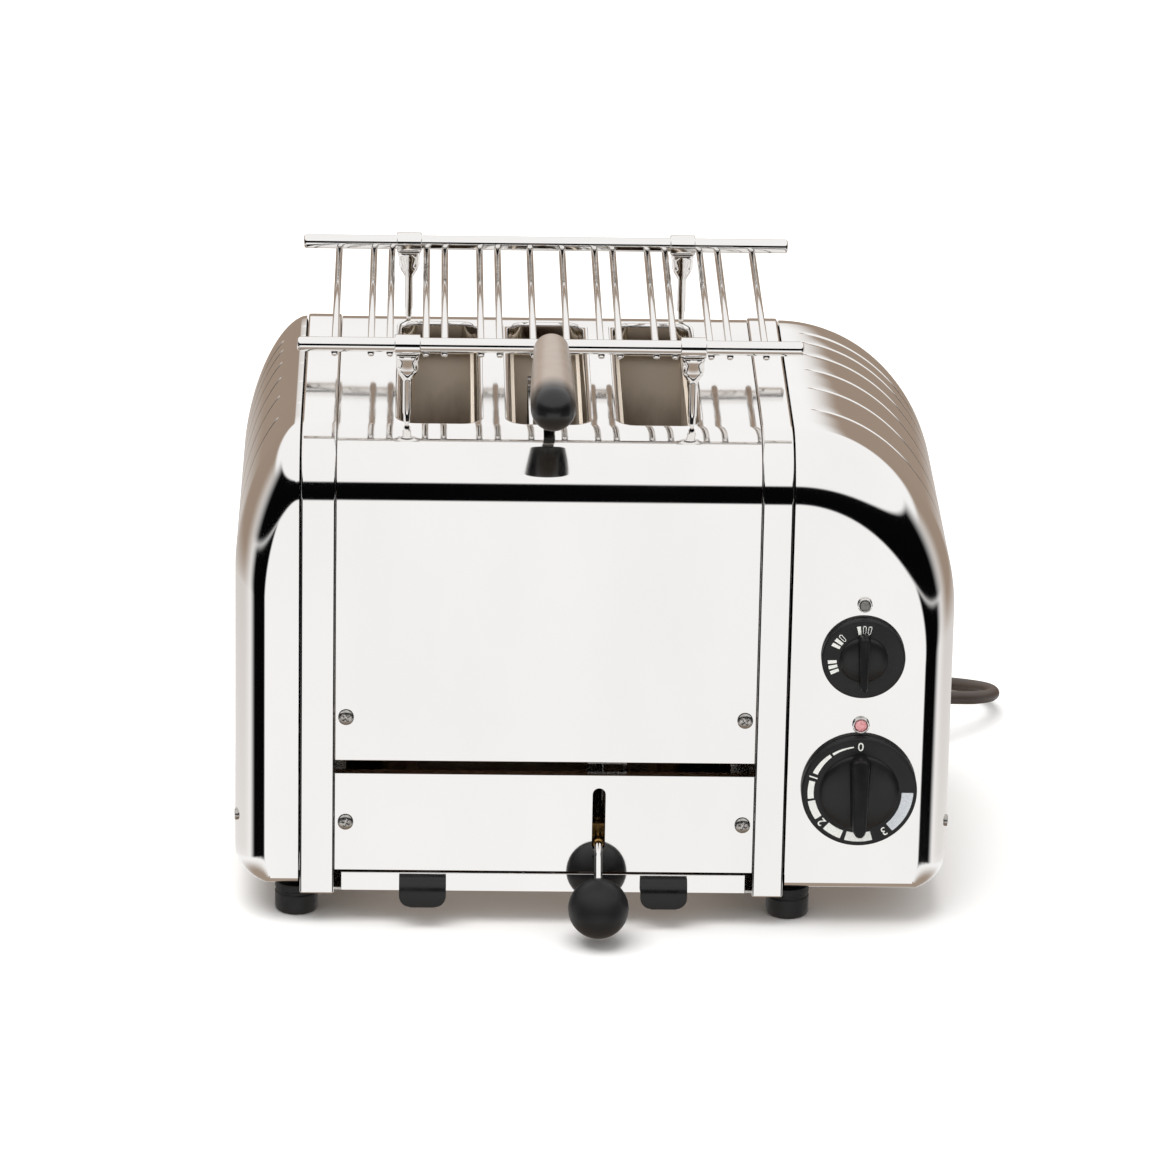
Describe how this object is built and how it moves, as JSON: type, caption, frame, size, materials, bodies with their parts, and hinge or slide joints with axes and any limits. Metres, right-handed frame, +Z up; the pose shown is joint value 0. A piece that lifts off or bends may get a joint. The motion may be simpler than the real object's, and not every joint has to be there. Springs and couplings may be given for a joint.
{
  "type": "pop up toaster",
  "caption": "Three-slot polished steel toaster with a lift lever, two dials, a sandwich cage with a handle, a warming rack and a mains lead.",
  "frame": {"origin": "on the ground, at the middle of the toaster's own box, measured without the mains lead", "axes": "+Z up, front faces -Y, +X to the right seen from the front"},
  "size_m": [0.3522, 0.3873, 0.2663],
  "materials": {
    "polished_steel": "mirror-polished stainless steel sheet",
    "plain_steel": "plain steel sheet",
    "chrome": "bright plated wire and rod",
    "brass": "machined",
    "black_plastic": "black moulded plastic, satin to gloss",
    "black_rubber": "black rubber",
    "mica": "pressed mica board, matte",
    "red_lens": "clear red lens"
  },
  "bodies": {
    "casing": {"top_shell": "polished_steel", "lower_front_panel": "polished_steel", "left_trim_band": "polished_steel", "right_trim_band": "polished_steel", "left_end_cover": "polished_steel", "right_end_cover": "polished_steel", "chassis": "plain_steel", "element_frame": "plain_steel", "heating_element_1": "mica", "heating_element_2": "mica", "heating_element_3": "mica", "heating_element_4": "mica", "bread_guards_left": "plain_steel", "bread_guards_middle": "plain_steel", "bread_guards_right": "plain_steel", "guide_rod": "chrome", "guide_bracket": "plain_steel", "timer_body": "plain_steel", "selector_switch": "plain_steel", "neon_bezel": "chrome", "neon_lens": "red_lens", "button_bezel": "chrome", "foot_front_left": "black_rubber", "foot_front_right": "black_rubber", "foot_rear_left": "black_rubber", "foot_rear_right": "black_rubber", "panel_screw_upper_left": "plain_steel", "panel_screw_upper_right": "plain_steel", "panel_screw_lower_left": "plain_steel", "panel_screw_lower_right": "plain_steel", "strain_relief": "black_rubber", "cord_lead": "black_rubber", "cord_coil": "black_rubber", "cord_tail": "black_rubber", "mains_plug": "black_plastic"},
    "lift": {"carriage_frame": "plain_steel", "bread_rest_left": "plain_steel", "bread_rest_middle": "plain_steel", "bread_rest_right": "plain_steel", "carriage_arm": "plain_steel", "lever_block": "brass", "lever_rod": "chrome", "lever_ball": "black_plastic"},
    "sandwich_cage": {"cage_half_left": "chrome", "cage_half_right": "chrome", "cage_stem": "chrome", "cage_grip": "black_plastic"},
    "warming_rack": {"rack_frame": "chrome", "rack_leg_front_left": "chrome", "rack_leg_front_right": "chrome", "rack_leg_rear_left": "chrome", "rack_leg_rear_right": "chrome"},
    "tray": {"crumb_tray": "polished_steel", "tray_tab_left": "black_plastic", "tray_tab_right": "black_plastic"},
    "timer_control": {"timer_dial": "black_plastic", "timer_shaft": "plain_steel"},
    "selector_control": {"selector_dial": "black_plastic", "selector_shaft": "plain_steel"},
    "button": {"defrost_button": "plain_steel"}
  },
  "joints": [
    {"name": "lever_lift", "type": "slide", "parent": "casing", "child": "lift", "axis": [0, 0, 1], "range_m": [0, 0.022]},
    {"name": "cage_lift", "type": "slide", "parent": "casing", "child": "sandwich_cage", "axis": [0, 0, 1], "range_m": [0, 0.022]},
    {"name": "rack_lift", "type": "slide", "parent": "casing", "child": "warming_rack", "axis": [0, 0, 1], "range_m": [0, 0.04]},
    {"name": "tray_slide", "type": "slide", "parent": "casing", "child": "tray", "axis": [0, 1, 0], "range_m": [0, 0.09]},
    {"name": "timer_turn", "type": "hinge", "parent": "casing", "child": "timer_control", "pos_m": [0.1145, -0.06925, 0.065], "axis": [0, 1, 0], "range_deg": [0, 270]},
    {"name": "selector_turn", "type": "hinge", "parent": "casing", "child": "selector_control", "pos_m": [0.1145, -0.06925, 0.126], "axis": [0, 1, 0], "range_deg": [0, 106]},
    {"name": "button_press", "type": "slide", "parent": "casing", "child": "button", "axis": [0, 1, 0], "range_m": [0, 0.0015], "stiffness_N_per_m": 300}
  ],
  "couplings": [
    {"joint": "cage_lift", "follows": "lever_lift", "ratio": 1}
  ]
}
